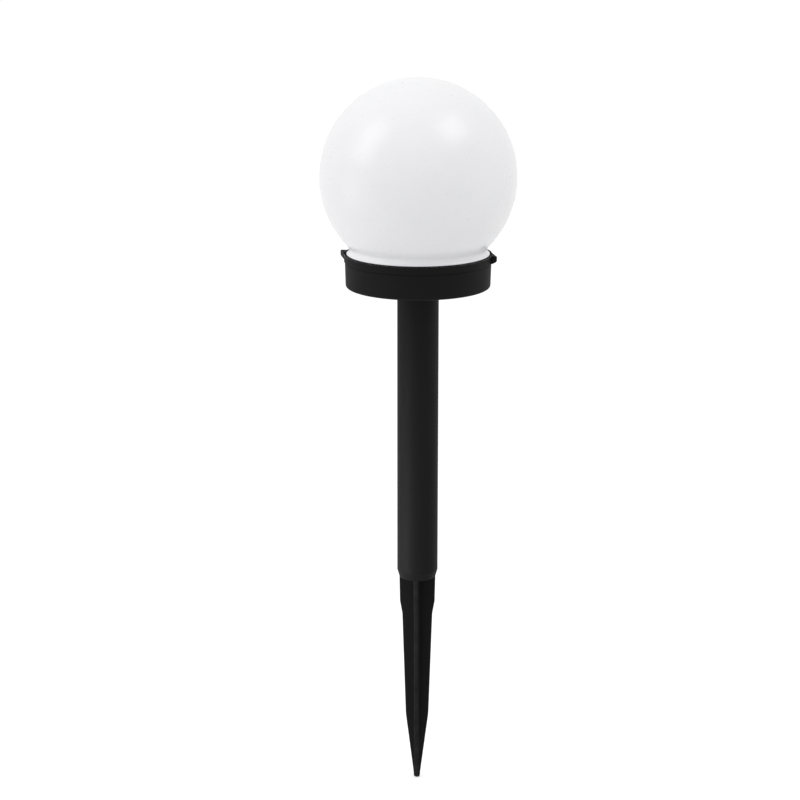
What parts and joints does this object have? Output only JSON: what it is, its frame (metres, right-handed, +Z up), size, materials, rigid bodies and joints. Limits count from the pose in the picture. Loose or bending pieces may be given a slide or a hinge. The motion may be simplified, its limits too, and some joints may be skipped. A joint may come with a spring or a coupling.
{
  "type": "garden globe light",
  "caption": "Solar garden light: an opal globe twists into a shallow black cup on a straight tube with a ribbed ground spike; panel, cell and light emitters sit on a deck under the globe.",
  "frame": {"origin": "on the tube's axis at the ground line, where the tube's lower end meets the spike", "axes": "+Z up along the tube and the globe's axis; the cup's thumb tabs lie on the X axis"},
  "size_m": [0.09, 0.09, 0.34],
  "materials": {
    "black_spike": "moulded polypropylene, satin",
    "black_pole": "extruded plastic tube, satin",
    "black_cup": "moulded plastic, satin",
    "opal_globe": "blow-moulded opal plastic, smooth",
    "seal_rubber": "moulded rubber ring",
    "white_deck": "moulded plastic, fine texture",
    "zinc_screw": "zinc-plated steel",
    "panel_board": "glass-fibre board",
    "silicon_cell": "blue-black silicon",
    "clear_resin": "clear resin",
    "circuit_board": "green solder mask",
    "chip_black": "epoxy body",
    "choke_green": "lacquered",
    "capacitor_sleeve": "shrink sleeve",
    "switch_blue": "moulded plastic",
    "button_grey": "moulded plastic",
    "led_lens": "clear epoxy lens",
    "tinned_wire": "tinned steel",
    "nickel_can": "nickel-plated steel",
    "cell_jacket": "shrink sleeve, plain",
    "contact_nickel": "nickel-plated strip",
    "spring_steel": "nickel-plated spring wire",
    "lead_red": "insulated wire",
    "lead_black": "insulated wire"
  },
  "bodies": {
    "spike": {"ground_spike": "black_spike"},
    "pole": {"pole_tube": "black_pole"},
    "lamp_base": {"base_cup": "black_cup", "deck_housing": "white_deck", "deck_screws": "zinc_screw", "solar_backing": "panel_board", "solar_cells": "silicon_cell", "solar_cover": "clear_resin", "circuit_board": "circuit_board", "board_screws": "zinc_screw", "boost_chip": "chip_black", "choke_coil": "choke_green", "filter_capacitor": "capacitor_sleeve", "switch_body": "switch_blue", "led_lamps": "led_lens", "led_legs": "tinned_wire", "battery_can": "nickel_can", "battery_jacket": "cell_jacket", "battery_cradle": "white_deck", "battery_contacts": "contact_nickel", "battery_spring": "spring_steel", "panel_lead_red": "lead_red", "panel_lead_black": "lead_black", "battery_lead_red": "lead_red", "battery_lead_black": "lead_black"},
    "seal": {"neck_seal": "seal_rubber"},
    "globe": {"globe_shade": "opal_globe"},
    "button": {"power_button": "button_grey"}
  },
  "joints": [
    {"name": "pole_pull", "type": "slide", "parent": "spike", "child": "pole", "axis": [0, 0, 1], "range_m": [0, 0.024]},
    {"name": "head_pull", "type": "slide", "parent": "pole", "child": "lamp_base", "axis": [0, 0, 1], "range_m": [0, 0.022]},
    {"name": "globe_lift", "type": "slide", "parent": "lamp_base", "child": "seal", "axis": [0, 0, 1], "range_m": [0, 0.04]},
    {"name": "globe_twist", "type": "hinge", "parent": "seal", "child": "globe", "pos_m": [0, 0, 0.15], "axis": [0, 0, 1], "range_deg": [-25, 0]},
    {"name": "button_press", "type": "slide", "parent": "lamp_base", "child": "button", "axis": [0, 0, -1], "range_m": [0, 0.0012], "stiffness_N_per_m": 200}
  ]
}
